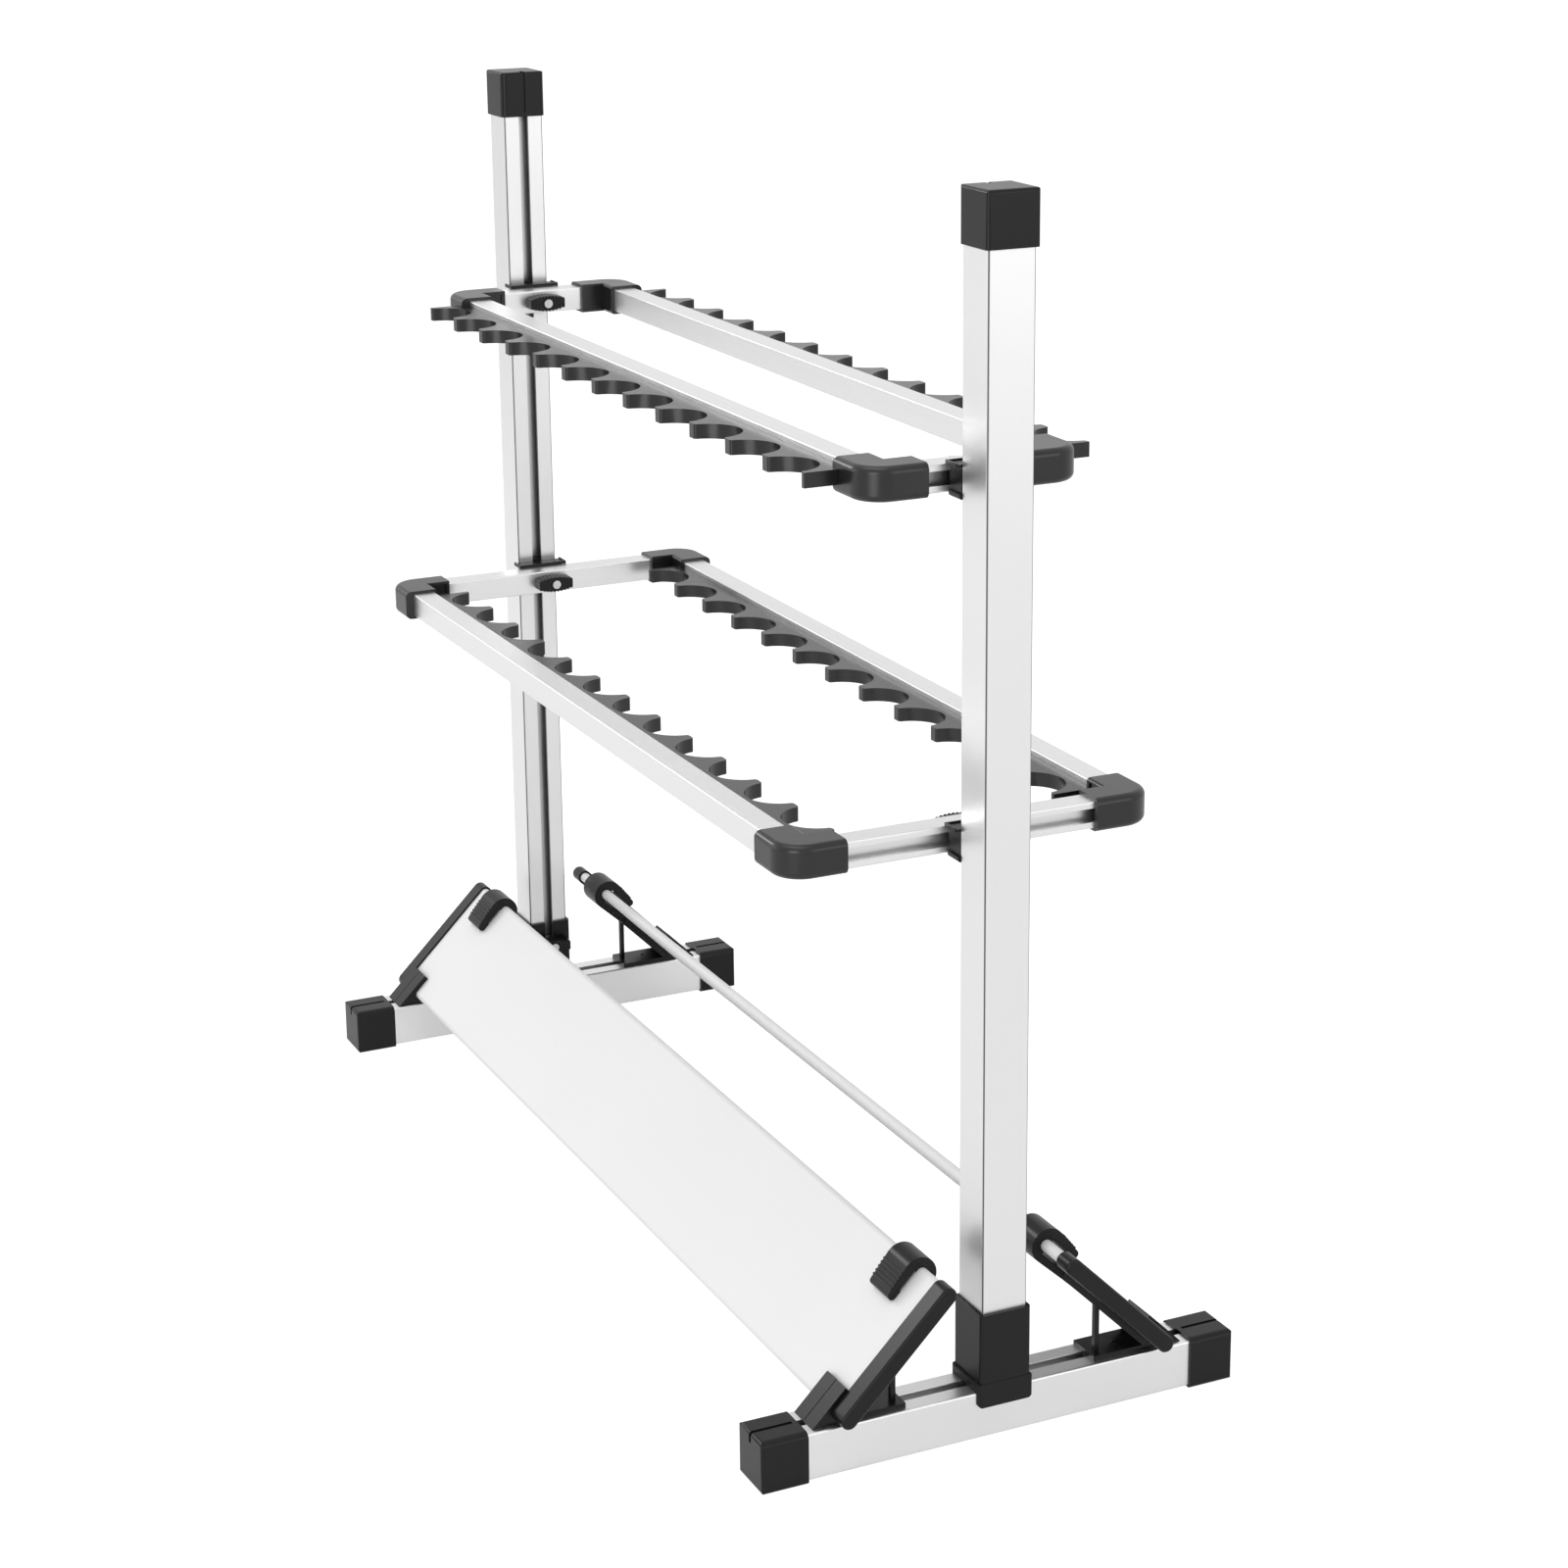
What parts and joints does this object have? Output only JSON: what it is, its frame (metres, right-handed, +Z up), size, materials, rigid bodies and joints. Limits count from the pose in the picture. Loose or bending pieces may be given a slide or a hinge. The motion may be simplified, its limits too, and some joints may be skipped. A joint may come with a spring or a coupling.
{
  "type": "fishing rod rack",
  "caption": "Free-standing aluminium fishing rod rack: notched combs on two adjustable racks hold rods upright over tilted butt trays.",
  "frame": {"origin": "on the floor under the middle of the rack", "axes": "+X to the right end along the trays, +Y to the rear, +Z up"},
  "size_m": [0.75, 0.3, 0.7],
  "materials": {
    "satin_aluminium": "satin anodised",
    "tray_aluminium": "satin anodised, pale",
    "black_plastic": "moulded, semi-matte",
    "gloss_black_plastic": "moulded, soft gloss",
    "bright_steel": "bright zinc",
    "blackened_steel": "blackened"
  },
  "bodies": {
    "base": {"base_rail_left": "satin_aluminium", "base_rail_right": "satin_aluminium", "base_cap_front_left": "black_plastic", "base_cap_front_right": "black_plastic", "base_cap_rear_left": "black_plastic", "base_cap_rear_right": "black_plastic", "post_socket_left": "black_plastic", "post_socket_right": "black_plastic", "socket_screws": "bright_steel", "socket_bolts": "bright_steel"},
    "uprights": {"upright_left": "satin_aluminium", "upright_right": "satin_aluminium", "upright_cap_left": "black_plastic", "upright_cap_right": "black_plastic"},
    "upper_rack": {"upper_rail_front": "satin_aluminium", "upper_rail_rear": "satin_aluminium", "upper_crossbar_left": "satin_aluminium", "upper_crossbar_right": "satin_aluminium", "upper_corner_front_left": "gloss_black_plastic", "upper_corner_front_right": "gloss_black_plastic", "upper_corner_rear_left": "gloss_black_plastic", "upper_corner_rear_right": "gloss_black_plastic", "upper_comb_front": "black_plastic", "upper_comb_rear": "black_plastic", "upper_spacer_left": "black_plastic", "upper_spacer_right": "black_plastic", "upper_clamp_bolts": "bright_steel"},
    "middle_rack": {"middle_rail_front": "satin_aluminium", "middle_rail_rear": "satin_aluminium", "middle_crossbar_left": "satin_aluminium", "middle_crossbar_right": "satin_aluminium", "middle_corner_front_left": "gloss_black_plastic", "middle_corner_front_right": "gloss_black_plastic", "middle_corner_rear_left": "gloss_black_plastic", "middle_corner_rear_right": "gloss_black_plastic", "middle_comb_front": "black_plastic", "middle_comb_rear": "black_plastic", "middle_spacer_left": "black_plastic", "middle_spacer_right": "black_plastic", "middle_clamp_bolts": "bright_steel"},
    "front_tray": {"tray_panel_front": "tray_aluminium", "tray_cap_front_left": "black_plastic", "tray_cap_front_right": "black_plastic", "tray_bracket_front_left": "black_plastic", "tray_bracket_front_right": "black_plastic", "bracket_screws_front": "blackened_steel"},
    "rear_tray": {"tray_panel_rear": "tray_aluminium", "tray_cap_rear_left": "black_plastic", "tray_cap_rear_right": "black_plastic", "tray_bracket_rear_left": "black_plastic", "tray_bracket_rear_right": "black_plastic", "bracket_screws_rear": "blackened_steel"},
    "socket_left_knob": {"socket_knob_left": "black_plastic"},
    "socket_right_knob": {"socket_knob_right": "black_plastic"},
    "upper_left_knob": {"upper_knob_left": "black_plastic"},
    "upper_right_knob": {"upper_knob_right": "black_plastic"},
    "middle_left_knob": {"middle_knob_left": "black_plastic"},
    "middle_right_knob": {"middle_knob_right": "black_plastic"}
  },
  "joints": [
    {"name": "uprights_lift", "type": "slide", "parent": "base", "child": "uprights", "axis": [0, 0, 1], "range_m": [0, 0.045]},
    {"name": "upper_rack_height", "type": "slide", "parent": "uprights", "child": "upper_rack", "axis": [0, 0, 1], "range_m": [-0.08, 0.1]},
    {"name": "middle_rack_height", "type": "slide", "parent": "uprights", "child": "middle_rack", "axis": [0, 0, 1], "range_m": [-0.18, 0.08]},
    {"name": "front_tray_slide", "type": "slide", "parent": "base", "child": "front_tray", "axis": [0, 1, 0], "range_m": [-0.004, 0.015]},
    {"name": "rear_tray_slide", "type": "slide", "parent": "base", "child": "rear_tray", "axis": [0, -1, 0], "range_m": [-0.004, 0.015]},
    {"name": "socket_left_knob_turn", "type": "hinge", "parent": "base", "child": "socket_left_knob", "pos_m": [-0.3299, 0, 0.0605], "axis": [1, 0, 0], "continuous": true},
    {"name": "socket_right_knob_turn", "type": "hinge", "parent": "base", "child": "socket_right_knob", "pos_m": [0.3299, 0, 0.0605], "axis": [1, 0, 0], "continuous": true},
    {"name": "upper_left_knob_turn", "type": "hinge", "parent": "upper_rack", "child": "upper_left_knob", "pos_m": [-0.3043, 0, 0.544], "axis": [1, 0, 0], "continuous": true},
    {"name": "upper_right_knob_turn", "type": "hinge", "parent": "upper_rack", "child": "upper_right_knob", "pos_m": [0.3043, 0, 0.544], "axis": [1, 0, 0], "continuous": true},
    {"name": "middle_left_knob_turn", "type": "hinge", "parent": "middle_rack", "child": "middle_left_knob", "pos_m": [-0.3043, 0, 0.343], "axis": [1, 0, 0], "continuous": true},
    {"name": "middle_right_knob_turn", "type": "hinge", "parent": "middle_rack", "child": "middle_right_knob", "pos_m": [0.3043, 0, 0.343], "axis": [1, 0, 0], "continuous": true}
  ]
}
